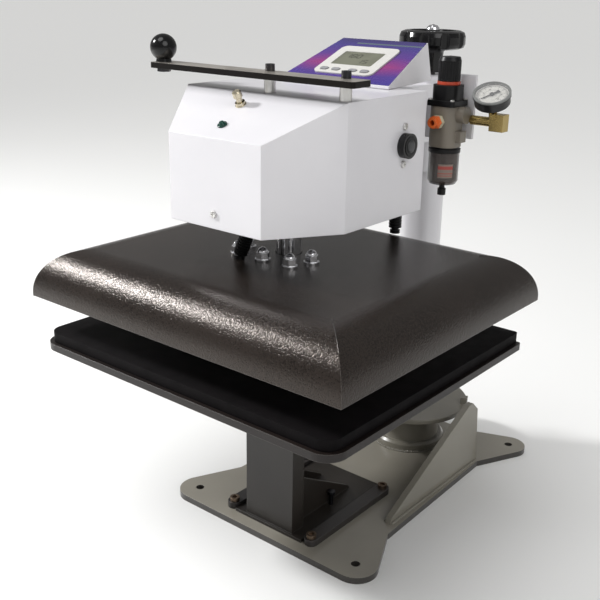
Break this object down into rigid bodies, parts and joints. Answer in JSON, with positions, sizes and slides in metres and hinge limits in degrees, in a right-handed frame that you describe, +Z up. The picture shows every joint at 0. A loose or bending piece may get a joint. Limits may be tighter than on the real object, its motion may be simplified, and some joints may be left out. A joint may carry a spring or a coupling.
{
  "type": "heat press",
  "caption": "Pneumatic swing-away heat press: rolled upper platen over a padded table, white arm head on a rear column with console, regulator and hand wheel.",
  "frame": {"origin": "centre of the base plate's four bolt holes, on its underside", "axes": "+X to the operator's right, -Y to the front where the operator stands, +Z up"},
  "size_m": [0.43, 0.553, 0.578],
  "materials": {
    "base_paint": "light warm grey enamel, satin",
    "pedestal_paint": "dark grey-brown paint, satin",
    "black_steel": "black paint, semi-gloss",
    "head_white": "white powder coat, satin",
    "platen_wrinkle": "black wrinkle enamel, glossy grain",
    "table_dark": "brown-black enamel, satin",
    "silicone": "dark silicone pad, matt",
    "zinc": "bright zinc plate",
    "black_oxide": "black oxide",
    "chrome": "polished chrome",
    "cast_alu": "machined cast aluminium",
    "alu": "anodised aluminium",
    "bronze": "sintered bronze",
    "brass": "turned brass",
    "black_plastic": "black phenolic, glossy",
    "matt_black": "black plastic, matt",
    "grey_plastic": "grey plastic",
    "white_plastic": "white plastic",
    "violet_film": "printed film, violet with magenta centre",
    "lcd": "grey-green display",
    "green_lamp": "translucent green lens",
    "orange": "orange-red plastic",
    "taupe_cast": "die cast, taupe paint",
    "smoke_bowl": "smoky clear polycarbonate",
    "tube_blue": "blue-grey plastic",
    "gauge_grey": "grey enamel case"
  },
  "bodies": {
    "base": {"base_plate": "base_paint", "gusset_left": "base_paint", "gusset_right": "base_paint", "bearing_pedestal": "base_paint", "bearing_rings": "bronze", "table_runners": "black_steel", "runner_bolts": "zinc"},
    "table": {"table_plate": "table_dark", "table_pad": "silicone", "table_pedestal": "pedestal_paint"},
    "lock_pin": {"lock_pin": "black_oxide"},
    "catch": {"catch_rod": "black_oxide"},
    "swing": {"turntable": "base_paint", "swing_column": "head_white"},
    "head": {"air_bracket": "head_white", "air_cylinder": "alu", "arm_beam": "head_white", "arm_sleeve": "head_white", "ball_knob": "black_plastic", "ball_nut": "black_oxide", "bowl_collar": "matt_black", "console_box": "head_white", "console_panel": "violet_film", "display_bezel": "white_plastic", "display_window": "lcd", "filter_core": "tube_blue", "gauge_case": "gauge_grey", "gauge_pipe": "brass", "handle_bar": "black_oxide", "handle_posts": "zinc", "handle_screws": "black_oxide", "head_cover": "head_white", "inlet_fitting": "orange", "knob_bush": "chrome", "palm_guard_left": "black_plastic", "palm_guard_right": "black_plastic", "panel_screws": "zinc", "regulator_body": "taupe_cast", "regulator_bonnet": "matt_black", "regulator_bowl": "smoke_bowl", "regulator_ring": "orange", "status_lamp": "green_lamp"},
    "palm_left": {"palm_button_left": "matt_black"},
    "palm_right": {"palm_button_right": "matt_black"},
    "key_1": {"console_key_1": "grey_plastic"},
    "key_2": {"console_key_2": "grey_plastic"},
    "key_3": {"console_key_3": "grey_plastic"},
    "key_4": {"console_key_4": "grey_plastic"},
    "mode_knob": {"mode_knob": "chrome"},
    "hand_wheel": {"hand_wheel": "black_plastic", "adjust_screw": "black_oxide", "wheel_nut": "chrome"},
    "platen": {"platen_cover": "platen_wrinkle", "heat_platen": "cast_alu", "ram_rod": "chrome", "platen_nuts": "chrome", "platen_conduits": "matt_black"},
    "regulator_knob": {"regulator_knob": "matt_black"},
    "drain_knob": {"drain_knob": "matt_black"},
    "needle": {"gauge_needle": "matt_black"}
  },
  "joints": [
    {"name": "table_slide", "type": "slide", "parent": "base", "child": "table", "axis": [0, -1, 0], "range_m": [0, 0.09]},
    {"name": "lock_pin_lift", "type": "slide", "parent": "table", "child": "lock_pin", "axis": [0, 0, 1], "range_m": [0, 0.006]},
    {"name": "catch_lift", "type": "hinge", "parent": "table", "child": "catch", "pos_m": [0.022, -0.181, 0.092], "axis": [1, 0, 0], "range_deg": [0, 25]},
    {"name": "head_swing", "type": "hinge", "parent": "base", "child": "swing", "pos_m": [0, 0.113, 0.066], "axis": [0, 0, 1], "range_deg": [0, 100]},
    {"name": "head_height", "type": "slide", "parent": "swing", "child": "head", "axis": [0, 0, 1], "range_m": [0, 0.015]},
    {"name": "hand_wheel_turn", "type": "hinge", "parent": "head", "child": "hand_wheel", "pos_m": [0, 0.113, 0.56], "axis": [0, 0, 1], "range_deg": [0, 1800]},
    {"name": "press_stroke", "type": "slide", "parent": "head", "child": "platen", "axis": [0, 0, -1], "range_m": [0, 0.0365], "stiffness_N_per_m": 2500, "springref_m": -0.09},
    {"name": "palm_left_press", "type": "slide", "parent": "head", "child": "palm_left", "axis": [1, 0, 0], "range_m": [0, 0.0025], "stiffness_N_per_m": 800, "springref_m": -0.001},
    {"name": "palm_right_press", "type": "slide", "parent": "head", "child": "palm_right", "axis": [-1, 0, 0], "range_m": [0, 0.0025], "stiffness_N_per_m": 800, "springref_m": -0.001},
    {"name": "key_1_press", "type": "slide", "parent": "head", "child": "key_1", "axis": [0, 0.3752, -0.9269], "range_m": [0, 0.001], "stiffness_N_per_m": 400, "springref_m": -0.0005},
    {"name": "key_2_press", "type": "slide", "parent": "head", "child": "key_2", "axis": [0, 0.3752, -0.9269], "range_m": [0, 0.001], "stiffness_N_per_m": 400, "springref_m": -0.0005},
    {"name": "key_3_press", "type": "slide", "parent": "head", "child": "key_3", "axis": [0, 0.3752, -0.9269], "range_m": [0, 0.001], "stiffness_N_per_m": 400, "springref_m": -0.0005},
    {"name": "key_4_press", "type": "slide", "parent": "head", "child": "key_4", "axis": [0, 0.3752, -0.9269], "range_m": [0, 0.001], "stiffness_N_per_m": 400, "springref_m": -0.0005},
    {"name": "mode_knob_turn", "type": "hinge", "parent": "head", "child": "mode_knob", "pos_m": [-0.01, -0.22493, 0.5089], "axis": [0, -0.4566, 0.8897], "range_deg": [-140, 140]},
    {"name": "regulator_turn", "type": "hinge", "parent": "head", "child": "regulator_knob", "pos_m": [0.109, -0.026, 0.54], "axis": [0, 0, 1], "range_deg": [-720, 720]},
    {"name": "drain_turn", "type": "hinge", "parent": "head", "child": "drain_knob", "pos_m": [0.109, -0.026, 0.41], "axis": [0, 0, 1], "range_deg": [0, 180]},
    {"name": "needle_turn", "type": "hinge", "parent": "head", "child": "needle", "pos_m": [0.162, -0.028, 0.52], "axis": [0.1297, -0.479, 0.8682], "range_deg": [-260, 0]}
  ],
  "couplings": [
    {"joint": "hand_wheel_turn", "follows": "head_height", "rad_per_m": 2094.4}
  ]
}
